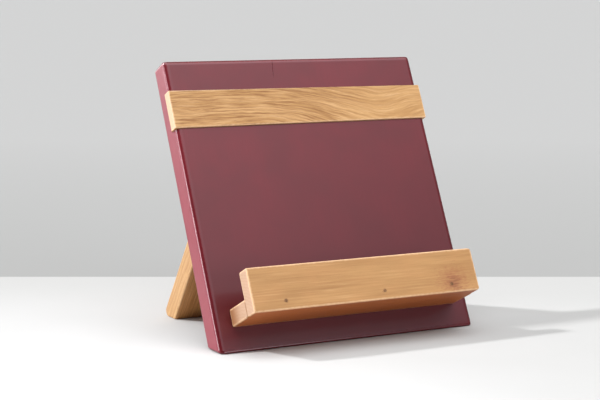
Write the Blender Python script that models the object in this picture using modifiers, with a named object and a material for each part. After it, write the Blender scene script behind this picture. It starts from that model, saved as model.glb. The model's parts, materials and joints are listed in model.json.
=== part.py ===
"""Wooden tablet stand: painted back board, inlaid wood strip, L-shaped ledge and a hinged rear leg.

Units are metres, +Z is up and the board's face looks towards -Y, leaning back by BOARD_LEAN.
"""
import math

import bmesh
import bpy
from mathutils import Vector

# ---- sizes ---------------------------------------------------------------

FIT_GAP = 0.0003             # clearance left between glued or screwed faces

BOARD_WIDTH = 0.203
BOARD_HEIGHT = 0.2046        # along the slope, from the back bottom edge
BOARD_THICK = 0.019
BOARD_LEAN = math.radians(25.4)
BOARD_FRONT_ROUND = 0.004
BOARD_BACK_ROUND = 0.0024
BACK_EDGE_Y = -0.0361        # where the board's back bottom edge stands

STRIP_HALF_LENGTH = 0.1027   # a little longer than the board is wide
STRIP_BOTTOM = 0.1533
STRIP_TOP_LEFT = 0.1811
STRIP_TOP_RIGHT = 0.1797
STRIP_PROUD = 0.0013
STRIP_THICK = 0.0085
STRIP_EASE = 0.0005

LEDGE_HALF_LENGTH = 0.0888
LEDGE_BOTTOM = 0.0091
SHELF_THICK = 0.0122
SHELF_DEPTH = 0.0252
LIP_THICK = 0.0120
LIP_HEIGHT = 0.0308
LEDGE_EASE = 0.0009

BRAD_POSITIONS = {"left": -0.0642, "middle": 0.0121, "right": 0.0667}
BRAD_RADIUS = 0.0007
BRAD_HEAD_RADIUS = 0.0010
BRAD_LENGTH = 0.0240

SHELF_SCREW_POSITIONS = {"left": -0.046, "middle": 0.0, "right": 0.046}
SHELF_SCREW_RADIUS = 0.0018
SHELF_SCREW_HEAD = 0.0038
SHELF_SCREW_LENGTH = 0.0360

LEG_HALF_WIDTH = 0.081
LEG_THICK = 0.017
LEG_SPLAY = math.radians(35.7)
LEG_TOP_MEETS = 0.0946       # up the board's slope to the leg's front face
LEG_HEEL_ROUND = 0.0042
LEG_EASE = 0.0012

HINGE_CENTRES = {"left": -0.050, "right": 0.050}
HINGE_LENGTH = 0.038
HINGE_AXIS_OFFSET = 0.00265  # hinge pin's axis to either wood face
HINGE_BARREL = 0.00235
HINGE_BORE = 0.00124
HINGE_PIN = 0.00115
LEAF_THICK = 0.0011
LEAF_DEPTH = 0.0150
KNUCKLE_COUNT = 5
KNUCKLE_GAP = 0.0003
HINGE_SCREW_SPACING = 0.022
HINGE_SCREW_DROP = 0.0092    # pin's axis to the screw's centre
HINGE_SCREW_RADIUS = 0.0011
HINGE_SCREW_HEAD = 0.0021
HINGE_SCREW_LENGTH = 0.0095

OPEN_ANGLE = BOARD_LEAN + LEG_SPLAY
HINGE_HEIGHT = (
    LEG_TOP_MEETS
    - HINGE_AXIS_OFFSET / math.sin(OPEN_ANGLE / 2) * math.cos(OPEN_ANGLE / 2)
)

# ---- scene set-up --------------------------------------------------------


def clear_scene():
    for item in list(bpy.data.objects):
        bpy.data.objects.remove(item, do_unlink=True)
    for group in list(bpy.data.collections):
        bpy.data.collections.remove(group)


def new_collection(name):
    group = bpy.data.collections.new(name)
    bpy.context.scene.collection.children.link(group)
    return group


def material(name, colour, roughness, metallic=0.0):
    made = bpy.data.materials.new(name)
    made.use_nodes = True
    shader = made.node_tree.nodes["Principled BSDF"]
    shader.inputs["Base Color"].default_value = (*colour, 1.0)
    shader.inputs["Roughness"].default_value = roughness
    shader.inputs["Metallic"].default_value = metallic
    made.diffuse_color = (*colour, 1.0)
    return made


def empty(name, location, tilt):
    made = bpy.data.objects.new(name, None)
    made.empty_display_size = 0.02
    made.location = location
    made.rotation_euler = (tilt, 0.0, 0.0)
    PARTS.objects.link(made)
    return made


# ---- mesh helpers --------------------------------------------------------


def add_object(name, mesh, group, parent, look=None):
    made = bpy.data.objects.new(name, mesh)
    group.objects.link(made)
    made.parent = parent
    if look is not None:
        mesh.materials.append(look)
    return made


def prism(name, outline, left, right):
    """Solid with a (y, z) outline, extruded along X from left to right."""
    mesh = bpy.data.meshes.new(name)
    count = len(outline)
    points = [(left, y, z) for y, z in outline]
    points += [(right, y, z) for y, z in outline]
    faces = [tuple(range(count)), tuple(range(2 * count - 1, count - 1, -1))]
    for i in range(count):
        j = (i + 1) % count
        faces.append((i, i + count, j + count, j))
    mesh.from_pydata(points, [], faces)
    outward(mesh)
    return mesh


def turned(name, profile, sides, centre=(0.0, 0.0, 0.0), axis="Y"):
    """Solid of revolution from (radius, distance along the axis) pairs."""
    mesh = bpy.data.meshes.new(name)
    points = []
    rings = []
    for radius, along in profile:
        if radius == 0.0:
            rings.append([len(points)])
            points.append(axis_point(0.0, 0.0, along, centre, axis))
            continue
        ring = []
        for k in range(sides):
            turn = 2.0 * math.pi * k / sides
            ring.append(len(points))
            a = radius * math.cos(turn)
            b = radius * math.sin(turn)
            points.append(axis_point(a, b, along, centre, axis))
        rings.append(ring)
    mesh.from_pydata(points, [], ring_faces(rings, sides))
    outward(mesh)
    return mesh


def axis_point(a, b, along, centre, axis):
    x, y, z = centre
    if axis == "X":
        return (x + along, y + a, z + b)
    return (x + a, y + along, z + b)


def ring_faces(rings, sides):
    faces = []
    for lower, upper in zip(rings, rings[1:]):
        for k in range(sides):
            n = (k + 1) % sides
            if len(lower) == 1:
                faces.append((lower[0], upper[k], upper[n]))
            elif len(upper) == 1:
                faces.append((lower[k], lower[n], upper[0]))
            else:
                faces.append((lower[k], lower[n], upper[n], upper[k]))
    if len(rings[0]) > 1:
        faces.append(tuple(rings[0]))
    if len(rings[-1]) > 1:
        faces.append(tuple(rings[-1]))
    return faces


def outward(mesh):
    work = bmesh.new()
    work.from_mesh(mesh)
    bmesh.ops.recalc_face_normals(work, faces=work.faces)
    work.to_mesh(mesh)
    work.free()


def smooth(mesh, degrees):
    mesh.shade_smooth()
    mesh.set_sharp_from_angle(angle=math.radians(degrees))


def box(name, low, high):
    (x0, y0, z0), (x1, y1, z1) = low, high
    outline = [(y0, z0), (y1, z0), (y1, z1), (y0, z1)]
    return prism(name, outline, x0, x1)


def ease_edges(item, width, segments=2):
    bevel = item.modifiers.new("eased_edges", "BEVEL")
    bevel.width = width
    bevel.segments = segments
    bevel.limit_method = "ANGLE"
    bevel.angle_limit = math.radians(35.0)
    bevel.harden_normals = False


def cut(item, cutter, index):
    modifier = item.modifiers.new("cut_%02d" % index, "BOOLEAN")
    modifier.operation = "DIFFERENCE"
    modifier.solver = "EXACT"
    modifier.object = cutter


def join(item, other, index):
    modifier = item.modifiers.new("join_%02d" % index, "BOOLEAN")
    modifier.operation = "UNION"
    modifier.solver = "EXACT"
    modifier.object = other


def tool(name, mesh, parent):
    made = add_object(name, mesh, CUTTERS, parent)
    made.display_type = "WIRE"
    made.hide_render = True
    return made


def hole_profile(head, radius, start, depth, direction):
    """Countersunk hole: mouth at start, running along direction (+1 or -1)."""
    sink = head - radius
    land = 0.0005
    return [
        (head, start - direction * 0.0005),
        (head, start + direction * land),
        (radius, start + direction * (land + sink)),
        (radius, start + direction * depth),
    ]


# ---- the board and the strip ---------------------------------------------


def board_outline():
    drop = BOARD_THICK * math.tan(BOARD_LEAN)
    return [
        (0.0, 0.0),
        (-BOARD_THICK, -drop),
        (-BOARD_THICK, BOARD_HEIGHT),
        (0.0, BOARD_HEIGHT),
    ]


def weigh_board_edges(mesh):
    """Front edges get the full round; back and bottom edges a smaller one."""
    weights = mesh.attributes.new("bevel_weight_edge", "FLOAT", "EDGE")
    small = BOARD_BACK_ROUND / BOARD_FRONT_ROUND
    for edge in mesh.edges:
        a = mesh.vertices[edge.vertices[0]].co
        b = mesh.vertices[edge.vertices[1]].co
        in_front = a.y < -0.01 and b.y < -0.01
        at_foot = a.z < 0.001 and b.z < 0.001
        weights.data[edge.index].value = 1.0 if in_front and not at_foot else small


def make_board():
    mesh = prism("board", board_outline(), -BOARD_WIDTH / 2, BOARD_WIDTH / 2)
    weigh_board_edges(mesh)
    board = add_object("board", mesh, PARTS, STAND_FRAME, PAINT)
    bevel = board.modifiers.new("rounded_edges", "BEVEL")
    bevel.width = BOARD_FRONT_ROUND
    bevel.segments = 4
    bevel.limit_method = "WEIGHT"
    smooth(mesh, 35.0)
    cut(board, groove_tool(), 0)
    return board


def strip_outline_points(half, low, high_left, high_right, front, back):
    """Eight corners of the strip; its top edge slopes a little."""
    return [
        (-half, front, low),
        (half, front, low),
        (half, front, high_right),
        (-half, front, high_left),
        (-half, back, low),
        (half, back, low),
        (half, back, high_right),
        (-half, back, high_left),
    ]


def strip_mesh(name, grow, half):
    front = -(BOARD_THICK + STRIP_PROUD) - grow
    back = -(BOARD_THICK + STRIP_PROUD - STRIP_THICK) + grow
    points = strip_outline_points(
        half, STRIP_BOTTOM - grow, STRIP_TOP_LEFT + grow, STRIP_TOP_RIGHT + grow, front, back
    )
    faces = [
        (0, 1, 2, 3),
        (7, 6, 5, 4),
        (0, 4, 5, 1),
        (3, 2, 6, 7),
        (0, 3, 7, 4),
        (1, 5, 6, 2),
    ]
    mesh = bpy.data.meshes.new(name)
    mesh.from_pydata(points, [], faces)
    outward(mesh)
    return mesh


def groove_tool():
    mesh = strip_mesh("groove_tool", FIT_GAP, BOARD_WIDTH / 2 + 0.01)
    return tool("groove_tool", mesh, STAND_FRAME)


def make_strip():
    mesh = strip_mesh("accent_strip", 0.0, STRIP_HALF_LENGTH)
    strip = add_object("accent_strip", mesh, PARTS, STAND_FRAME, OAK)
    ease_edges(strip, STRIP_EASE)


# ---- the ledge -----------------------------------------------------------


def make_shelf():
    front = -(BOARD_THICK + SHELF_DEPTH)
    mesh = box(
        "ledge_shelf",
        (-LEDGE_HALF_LENGTH, front, LEDGE_BOTTOM),
        (LEDGE_HALF_LENGTH, -BOARD_THICK - FIT_GAP, LEDGE_BOTTOM + SHELF_THICK),
    )
    shelf = add_object("ledge_shelf", mesh, PARTS, STAND_FRAME, LEDGE_WOOD)
    ease_edges(shelf, LEDGE_EASE)
    return shelf


def make_lip():
    back = -(BOARD_THICK + SHELF_DEPTH + FIT_GAP)
    front = -(BOARD_THICK + SHELF_DEPTH + LIP_THICK)
    mesh = box(
        "ledge_lip",
        (-LEDGE_HALF_LENGTH, front, LEDGE_BOTTOM),
        (LEDGE_HALF_LENGTH, back, LEDGE_BOTTOM + LIP_HEIGHT),
    )
    lip = add_object("ledge_lip", mesh, PARTS, STAND_FRAME, LEDGE_WOOD)
    ease_edges(lip, LEDGE_EASE)
    return lip


def make_brad(side, x):
    """Headed nail through the lip into the shelf's front edge."""
    front = -(BOARD_THICK + SHELF_DEPTH + LIP_THICK)
    start = front + 0.0002
    profile = [
        (BRAD_HEAD_RADIUS, start),
        (BRAD_HEAD_RADIUS, start + 0.0007),
        (BRAD_RADIUS, start + 0.0013),
        (BRAD_RADIUS, start + BRAD_LENGTH - 0.0015),
        (0.0, start + BRAD_LENGTH),
    ]
    centre = (x, 0.0, LEDGE_BOTTOM + SHELF_THICK / 2)
    name = "lip_brad_" + side
    mesh = turned(name, profile, 12, centre)
    smooth(mesh, 40.0)
    add_object(name, mesh, PARTS, STAND_FRAME, STEEL)


def brad_hole(side, x):
    front = -(BOARD_THICK + SHELF_DEPTH + LIP_THICK)
    gap = 0.0002
    profile = [
        (BRAD_HEAD_RADIUS + gap, front - 0.001),
        (BRAD_HEAD_RADIUS + gap, front + 0.0012),
        (BRAD_RADIUS + gap, front + 0.0018),
        (BRAD_RADIUS + gap, front + BRAD_LENGTH + 0.0008),
    ]
    centre = (x, 0.0, LEDGE_BOTTOM + SHELF_THICK / 2)
    name = "brad_hole_" + side
    return tool(name, turned(name, profile, 12, centre), STAND_FRAME)


# ---- screws --------------------------------------------------------------


def screw_mesh(name, head, radius, length, start, direction, centre):
    sink = head - radius
    profile = [
        (head, start),
        (head, start + direction * 0.0001),
        (radius, start + direction * (sink + 0.0001)),
        (radius, start + direction * (length - 0.0025)),
        (0.0, start + direction * length),
    ]
    mesh = turned(name, profile, 16, centre)
    smooth(mesh, 30.0)
    return mesh


def cross_tool(name, head, start, direction, centre, parent):
    """Plus-shaped blade that sinks the cross recess in a screw's head."""
    x, _, z = centre
    long_arm = head * 0.55
    short_arm = head * 0.14
    near = start - direction * 0.0004
    deep = start + direction * head * 0.42
    low, high = sorted((near, deep))
    across = box(name, (x - long_arm, low, z - short_arm), (x + long_arm, high, z + short_arm))
    upright = box(name + "_b", (x - short_arm, low, z - long_arm), (x + short_arm, high, z + long_arm))
    first = tool(name, across, parent)
    second = tool(name + "_b", upright, parent)
    return first, second


def make_screw(name, size, start, direction, centre, parent, look):
    head, radius, length = size
    mesh = screw_mesh(name, head, radius, length, start, direction, centre)
    screw = add_object(name, mesh, PARTS, parent, look)
    blades = cross_tool("recess_" + name, head, start, direction, centre, parent)
    for index, blade in enumerate(blades):
        cut(screw, blade, index)
    return screw


def make_shelf_screws(board, shelf):
    size = (SHELF_SCREW_HEAD, SHELF_SCREW_RADIUS, SHELF_SCREW_LENGTH)
    gap = 0.0002
    height = LEDGE_BOTTOM + SHELF_THICK / 2
    for index, (side, x) in enumerate(SHELF_SCREW_POSITIONS.items()):
        centre = (x, 0.0, height)
        make_screw("shelf_screw_" + side, size, -0.0002, -1, centre, STAND_FRAME, STEEL)
        profile = hole_profile(
            SHELF_SCREW_HEAD + gap, SHELF_SCREW_RADIUS + gap, 0.0, SHELF_SCREW_LENGTH + 0.001, -1
        )
        name = "shelf_hole_" + side
        drill = tool(name, turned(name, profile, 16, centre), STAND_FRAME)
        cut(board, drill, 1 + index)
        cut(shelf, drill, 1 + index)


# ---- the leg -------------------------------------------------------------


def leg_outline():
    """Side view of the leg in its own frame, with the pin's axis at the origin."""
    front = HINGE_AXIS_OFFSET
    back = HINGE_AXIS_OFFSET + LEG_THICK
    heel = (back, floor_at(back))
    toe = (front, floor_at(front))
    outline = [(front, bevel_at(front)), toe]
    outline += round_corner(toe, heel, (back, bevel_at(back)), LEG_HEEL_ROUND, 6)
    outline.append((back, bevel_at(back)))
    return outline


def bevel_at(y):
    """Height of the leg's bevelled top, which lies flat against the board."""
    rise = HINGE_AXIS_OFFSET - FIT_GAP + y * math.cos(OPEN_ANGLE)
    return rise / math.sin(OPEN_ANGLE)


def floor_at(y):
    return -(HINGE_WORLD.z + y * math.sin(LEG_SPLAY)) / math.cos(LEG_SPLAY)


def round_corner(before, corner, after, radius, steps):
    """Points of an arc that rounds the corner between two straight sides."""
    c = Vector((corner[0], corner[1]))
    to_before = (Vector(before) - c).normalized()
    to_after = (Vector(after) - c).normalized()
    half = to_before.angle(to_after) / 2
    middle = c + (to_before + to_after).normalized() * radius / math.sin(half)
    first = c + to_before * radius / math.tan(half) - middle
    last = c + to_after * radius / math.tan(half) - middle
    begin = math.atan2(first.y, first.x)
    swing = math.atan2(last.y, last.x) - begin
    swing = (swing + math.pi) % (2 * math.pi) - math.pi
    points = []
    for k in range(steps + 1):
        turn = begin + swing * k / steps
        points.append((middle.x + radius * math.cos(turn), middle.y + radius * math.sin(turn)))
    return points


def make_leg():
    mesh = prism("leg", leg_outline(), -LEG_HALF_WIDTH, LEG_HALF_WIDTH)
    smooth(mesh, 30.0)
    leg = add_object("leg", mesh, PARTS, LEG_FRAME, LEG_WOOD)
    ease_edges(leg, LEG_EASE)
    return leg


# ---- the hinges ----------------------------------------------------------


def knuckle_spans(centre, fixed):
    """Lengths of barrel that belong to one leaf: odd ones or even ones."""
    pitch = HINGE_LENGTH / KNUCKLE_COUNT
    spans = []
    for k in range(KNUCKLE_COUNT):
        if (k % 2 == 0) != fixed:
            continue
        low = centre - HINGE_LENGTH / 2 + k * pitch
        high = low + pitch
        start = low if k == 0 else low + KNUCKLE_GAP / 2
        end = high if k == KNUCKLE_COUNT - 1 else high - KNUCKLE_GAP / 2
        spans.append((start, end))
    return spans


def make_leaf(name, centre, fixed, origin, parent):
    """Leaf plate with its knuckles; origin is the pin's axis in the parent's frame."""
    side = -1.0 if fixed else 1.0
    y_outer = origin.y + side * HINGE_BARREL
    y_inner = origin.y + side * (HINGE_BARREL - LEAF_THICK)
    y_low, y_high = sorted((y_outer, y_inner))
    top = origin.z - HINGE_BARREL - 0.0004
    bottom = origin.z - LEAF_DEPTH
    half = HINGE_LENGTH / 2
    plate = box(name, (centre - half, y_low, bottom), (centre + half, y_high, top))
    leaf = add_object(name, plate, PARTS, parent, BRASS)
    index = 0
    for start, end in knuckle_spans(centre, fixed):
        tab_name = "tab_%d_%s" % (index, name)
        tab = box(tab_name, (start, y_low, top - 0.001), (end, y_high, origin.z))
        join(leaf, tool(tab_name, tab, parent), index)
        barrel_name = "barrel_%d_%s" % (index, name)
        join(leaf, tool(barrel_name, barrel(barrel_name, start, end, origin), parent), index + 10)
        index += 1
    bore_name = "bore_" + name
    bore = turned(bore_name, [(HINGE_BORE, -half - 0.001), (HINGE_BORE, half + 0.001)], 24,
                  (centre, origin.y, origin.z), "X")
    cut(leaf, tool(bore_name, bore, parent), 30)
    return leaf


def barrel(name, start, end, origin):
    middle = (start + end) / 2
    reach = (end - start) / 2
    profile = [(HINGE_BARREL, -reach), (HINGE_BARREL, reach)]
    return turned(name, profile, 24, (middle, origin.y, origin.z), "X")


def make_pin(name, centre, origin):
    reach = HINGE_LENGTH / 2 + 0.0003
    tip = 0.0003
    profile = [
        (HINGE_PIN - tip, -reach),
        (HINGE_PIN, -reach + tip),
        (HINGE_PIN, reach - tip),
        (HINGE_PIN - tip, reach),
    ]
    mesh = turned(name, profile, 24, (centre, origin.y, origin.z), "X")
    smooth(mesh, 40.0)
    add_object(name, mesh, PARTS, STAND_FRAME, STEEL)


def fix_leaf(leaf, wood, origin, fixed, centre, parent, first_cut):
    """Two countersunk screws through a leaf into the wood behind it."""
    direction = -1 if fixed else 1
    face = origin.y + direction * (HINGE_BARREL - LEAF_THICK)
    size = (HINGE_SCREW_HEAD, HINGE_SCREW_RADIUS, HINGE_SCREW_LENGTH)
    gap = 0.0002
    for index, word in enumerate(("outer", "inner")):
        away = 1.0 if centre > 0.0 else -1.0
        shift = away if word == "outer" else -away
        x = centre + shift * HINGE_SCREW_SPACING / 2
        spot = (x, 0.0, origin.z - HINGE_SCREW_DROP)
        name = "screw_%s_%s" % (leaf.name, word)
        make_screw(name, size, face + direction * 0.0001, direction, spot, parent, BRASS)
        profile = hole_profile(
            HINGE_SCREW_HEAD + gap, HINGE_SCREW_RADIUS + gap, face, HINGE_SCREW_LENGTH + 0.0008, direction
        )
        drill_name = "drill_%s_%s" % (leaf.name, word)
        drill = tool(drill_name, turned(drill_name, profile, 16, spot), parent)
        cut(leaf, drill, 40 + index)
        cut(wood, drill, first_cut + index)


def make_hinge(side, centre, board, leg, number):
    fixed_axis = Vector((0.0, HINGE_AXIS_OFFSET, HINGE_HEIGHT))
    leg_axis = Vector((0.0, 0.0, 0.0))
    fixed = make_leaf("hinge_%s_fixed_leaf" % side, centre, True, fixed_axis, STAND_FRAME)
    moving = make_leaf("hinge_%s_moving_leaf" % side, centre, False, leg_axis, LEG_FRAME)
    fix_leaf(fixed, board, fixed_axis, True, centre, STAND_FRAME, 10 + 2 * number)
    fix_leaf(moving, leg, leg_axis, False, centre, LEG_FRAME, 10 + 2 * number)
    make_pin("hinge_%s_pin" % side, centre, fixed_axis)


# ---- build ---------------------------------------------------------------

clear_scene()
PARTS = new_collection("tablet_stand")
CUTTERS = new_collection("cutters")

PAINT = material("burgundy_paint", (0.165, 0.040, 0.048), 0.32)
OAK = material("oak_strip", (0.58, 0.33, 0.13), 0.5)
LEDGE_WOOD = material("ledge_wood", (0.55, 0.30, 0.12), 0.5)
LEG_WOOD = material("leg_wood", (0.60, 0.36, 0.16), 0.55)
BRASS = material("brass_hinge", (0.72, 0.50, 0.20), 0.3, 1.0)
STEEL = material("screw_steel", (0.50, 0.50, 0.50), 0.35, 1.0)

HINGE_WORLD = Vector((
    0.0,
    BACK_EDGE_Y + HINGE_HEIGHT * math.sin(BOARD_LEAN) + HINGE_AXIS_OFFSET * math.cos(BOARD_LEAN),
    HINGE_HEIGHT * math.cos(BOARD_LEAN) - HINGE_AXIS_OFFSET * math.sin(BOARD_LEAN),
))
STAND_FRAME = empty("stand_frame", (0.0, BACK_EDGE_Y, 0.0), -BOARD_LEAN)
LEG_FRAME = empty("leg_hinge_axis", HINGE_WORLD, LEG_SPLAY)

the_board = make_board()
make_strip()
the_shelf = make_shelf()
the_lip = make_lip()
for order, (brad_side, brad_x) in enumerate(BRAD_POSITIONS.items()):
    make_brad(brad_side, brad_x)
    hole = brad_hole(brad_side, brad_x)
    cut(the_lip, hole, 5 + order)
    cut(the_shelf, hole, 5 + order)
make_shelf_screws(the_board, the_shelf)
the_leg = make_leg()
for order, (hinge_side, hinge_x) in enumerate(HINGE_CENTRES.items()):
    make_hinge(hinge_side, hinge_x, the_board, the_leg, order)
bpy.context.view_layer.update()
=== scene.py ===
"""Wooden tablet stand: the finished look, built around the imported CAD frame.

Units are metres, +Z is up and the board's painted face looks towards -Y.
"""
import json
import math

import bmesh
import bpy
from mathutils import Euler, Matrix, Vector


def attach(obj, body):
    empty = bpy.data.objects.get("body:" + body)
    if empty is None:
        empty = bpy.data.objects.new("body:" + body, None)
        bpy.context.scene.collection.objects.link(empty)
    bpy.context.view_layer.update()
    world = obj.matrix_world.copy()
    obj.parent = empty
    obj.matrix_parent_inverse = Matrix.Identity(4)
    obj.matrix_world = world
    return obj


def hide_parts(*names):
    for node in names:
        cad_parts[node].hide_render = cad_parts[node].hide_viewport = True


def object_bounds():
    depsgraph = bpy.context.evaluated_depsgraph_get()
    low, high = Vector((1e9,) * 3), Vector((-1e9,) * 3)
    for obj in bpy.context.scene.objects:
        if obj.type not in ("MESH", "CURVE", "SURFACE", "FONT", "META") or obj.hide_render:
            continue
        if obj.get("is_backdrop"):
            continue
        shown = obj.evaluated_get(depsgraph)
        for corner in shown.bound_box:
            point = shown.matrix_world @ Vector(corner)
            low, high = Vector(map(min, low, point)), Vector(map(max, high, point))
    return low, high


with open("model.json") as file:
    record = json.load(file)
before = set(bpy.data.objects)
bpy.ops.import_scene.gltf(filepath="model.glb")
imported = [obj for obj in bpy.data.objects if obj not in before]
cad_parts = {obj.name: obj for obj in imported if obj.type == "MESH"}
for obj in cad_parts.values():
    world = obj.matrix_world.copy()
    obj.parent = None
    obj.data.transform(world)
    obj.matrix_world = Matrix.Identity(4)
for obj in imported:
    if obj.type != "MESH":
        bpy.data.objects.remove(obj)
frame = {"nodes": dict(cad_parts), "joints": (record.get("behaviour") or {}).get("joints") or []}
CAD_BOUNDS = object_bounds()
NODES = frame["nodes"]

# ---- sizes ---------------------------------------------------------------

LEAN = math.radians(25.4)        # the board from upright
SPLAY = math.radians(35.7)       # the leg from upright
OPEN_ANGLE = LEAN + SPLAY
GLUE_GAP = 0.00003
SHARP_ANGLE = 32.0               # degrees: sharper edges than this stay edges in the shading
EASE_ANGLE = 35.0                # degrees: sharper edges than this are rounded

BOARD_FRONT_ROUND = 0.004
BOARD_BACK_ROUND = 0.0024
CRACK_WIDTH = 0.00032
CRACK_DEPTH = 0.0007
CRACK_PAST_FACE = 0.001
CRACK_LENGTH = 0.0135
CRACK_TOP_GAP = 0.0018           # below the board's top edge
CRACK_X = -0.0162
CRACK_DRIFT = -0.0017            # sideways, from its top to its foot
CRACK_RAGGED = 0.0010
CRACK_WANDER = (0.0, 0.3, -0.2, 0.25, 0.05, -0.35, 0.1, -0.1, 0.3, -0.15, 0.2, -0.1, 0.0)
STRIP_EASE = 0.0006
STRIP_BACK_CORNER = 0.0016
STRIP_SLOPE = 0.0014             # how much lower its top is at the right end
GROOVE_CLEAR = 0.0002
GROOVE_PAST_FACE = 0.002
GROOVE_PAST_ENDS = 0.01
LEDGE_EASE = 0.0009
LEDGE_CORNER = 0.0034
LEDGE_TOP_SHARE = 0.65           # of the corner round, on its long top edges
LEG_EASE = 0.0012
LEG_HEEL_ROUND = 0.0042
LEG_TOP_GAP = 0.0003

BRAD_SINK_RADIUS = 0.00106
BRAD_STEM_RADIUS = 0.0009
SCREW_HEAD_CLEAR = 0.0002
SCREW_HEAD_SINK = 0.0003
WELL_OVERSHOOT = 0.0006
SHELF_SCREW_HEAD = 0.0038
SHELF_SCREW_RADIUS = 0.0018
HINGE_SCREW_HEAD = 0.0021
HINGE_SCREW_RADIUS = 0.0011

SIDES = ("left", "right")
SPOTS_ALONG = ("left", "middle", "right")

STAND = Matrix.Rotation(-LEAN, 4, "X")
JOINT = [j for j in frame["joints"] if j["name"] == "leg_fold"][0]
LEG = Matrix.Translation(Vector(JOINT["pos_m"])) @ Matrix.Rotation(SPLAY, 4, "X")


def reach(node, frame_matrix):
    """Lowest and highest corner of a CAD node in a tilted frame."""
    back = frame_matrix.inverted()
    points = [back @ v.co for v in NODES[node].data.vertices]
    low = Vector([min(p[i] for p in points) for i in range(3)])
    high = Vector([max(p[i] for p in points) for i in range(3)])
    return low, high


# ---- colours and light ---------------------------------------------------


def rgb(r, g, b):
    """Linear colour from sRGB 0-255 numbers."""
    out = []
    for value in (r, g, b):
        value = value / 255.0
        out.append(value / 12.92 if value <= 0.04045 else ((value + 0.055) / 1.055) ** 2.4)
    return tuple(out)


PAINT_FULL = (0.130, 0.0022, 0.0074)
PAINT_DEEP = (0.100, 0.0016, 0.0052)
PAINT_FOOT_PAINTED_SHADE = (0.070, 0.0008, 0.0032)
PAINT_SHEEN = (1.0, 0.78, 0.88)
PAINT_SIDE_PAINTED_LIGHT = (0.200, 0.012, 0.026)
PAINT_EDGE_ROUGHNESS = 0.15
PAINT_COAT = 0.30
PAINT_COAT_ROUGHNESS = 0.14

OAK_MID = rgb(181, 135, 79)
OAK_PALE = rgb(198, 153, 98)
OAK_LIGHT = rgb(212, 170, 120)
OAK_DARK = rgb(136, 88, 42)
OAK_PORE = rgb(100, 62, 30)
OAK_END = rgb(196, 166, 136)
OAK_WORN_AND_HIGHLIGHT = rgb(232, 196, 160)
OAK_RING = 2.15                  # millimetres from ring to ring

LEDGE_MID = rgb(166, 121, 71)
LEDGE_PALE = rgb(180, 135, 83)
LEDGE_WARM = rgb(184, 133, 82)
LEDGE_LIGHT = rgb(200, 157, 106)
LEDGE_DARK = rgb(138, 90, 46)
LEDGE_PORE = rgb(108, 66, 32)
LEDGE_END = rgb(172, 138, 112)
LEDGE_END_RING = rgb(144, 94, 56)
LEDGE_UNDER_PAINTED_SHADE = rgb(168, 86, 30)
LEDGE_KNOT = rgb(150, 88, 54)
LEDGE_KNOT_CORE = rgb(112, 54, 30)
LEDGE_MARK = rgb(110, 64, 34)
LEDGE_WORN_AND_HIGHLIGHT = rgb(224, 184, 146)
LEDGE_RING = 2.1
LEDGE_PITH_Y = -62.0             # millimetres, like the rings
LEDGE_PITH_DROP = 38.0           # below the lip's foot

LEG_MID = rgb(200, 138, 76)
LEG_PALE = rgb(212, 156, 95)
LEG_SIDE = rgb(170, 134, 84)
LEG_LIGHT = rgb(214, 172, 120)
LEG_DARK = rgb(138, 82, 38)
LEG_PORE = rgb(96, 54, 24)
LEG_WORN_AND_HIGHLIGHT = rgb(226, 186, 138)
LEG_RING = 2.3

BRASS_BRIGHT = (0.72, 0.49, 0.20)
BRASS_DULL = (0.55, 0.36, 0.14)
SCREW_BRIGHT = (0.74, 0.52, 0.23)
SCREW_DULL = (0.56, 0.38, 0.16)
STEEL_BRIGHT = (0.46, 0.45, 0.44)
STEEL_DULL = (0.30, 0.29, 0.28)
NAIL_BRIGHT = (0.26, 0.13, 0.055)
NAIL_DULL = (0.15, 0.07, 0.028)
NAIL_METALLIC = 0.35             # rust and wood stain dull the rest
BRUSHED = (0.5, 6.0, 6.0)        # scratches along X
EVEN = (4.0, 4.0, 4.0)

CAMERA_PLACE = Vector((-0.54166, -0.99424, 0.2387))
CAMERA_YAW = math.radians(28.09)
CAMERA_PITCH = math.radians(7.39)
CAMERA_LENS = 95.04

FLOOR_HALF = 150.0               # metres from its middle to each side
# millimetres across the camera's view, or away from the camera
TABLE_SIDE_TONE = (-60.0, 320.0)
TABLE_BACK_TONE = (1080.0, 1330.0)
TABLE_END = 1331.0               # where the table turns into the wall's tones
WALL_END = 2600.0
TABLE_LEFT = (0.485, 0.486, 0.488)
TABLE_RIGHT_PAINTED_SHADE = (0.402, 0.402, 0.399)
TABLE_FAR_SHADE_AND_MOTTLE = (0.352, 0.352, 0.349)
WALL_NEAR = (0.258, 0.260, 0.258)
WALL_FAR = (0.293, 0.294, 0.294)

SUNS = (
    # name, towards the lamp, strength, size in degrees
    ("side_key", (-1.1, 0.6, 1.0), 3.15, 4.0),
    ("left_window", (-1.0, 0.24, 0.17), 0.92, 14.0),
    ("left_wall_glow", (-0.52, 0.84, 0.14), 2.5, 40.0),
    ("front_fill", (0.28, -0.92, 0.12), 0.80, 24.0),
)
ROOM_LEVEL = 0.31
# towards, cosines where it starts and is full, change in strength
ROOM_BRIGHT = ((0.02, -0.28, 0.96), 0.62, 0.98, 3.36)
ROOM_DIM = ((-0.30, -0.80, 0.50), 0.72, 0.96, -0.26)


# ---- mesh helpers --------------------------------------------------------


def add(name, mesh, matrix):
    """New object in the scene, placed by the matrix."""
    made = bpy.data.objects.new(name, mesh)
    bpy.context.scene.collection.objects.link(made)
    made.matrix_world = matrix
    return made


def solid(name, points, faces):
    """Mesh whose faces all look outwards."""
    mesh = bpy.data.meshes.new(name)
    mesh.from_pydata(points, [], faces)
    work = bmesh.new()
    work.from_mesh(mesh)
    bmesh.ops.recalc_face_normals(work, faces=work.faces)
    work.to_mesh(mesh)
    work.free()
    return mesh


def between(name, first, last):
    """Solid between an outline's points and the same points moved along."""
    count = len(first)
    faces = [tuple(range(count)), tuple(range(2 * count - 1, count - 1, -1))]
    for i in range(count):
        j = (i + 1) % count
        faces.append((i, i + count, j + count, j))
    return solid(name, first + last, faces)


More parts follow.
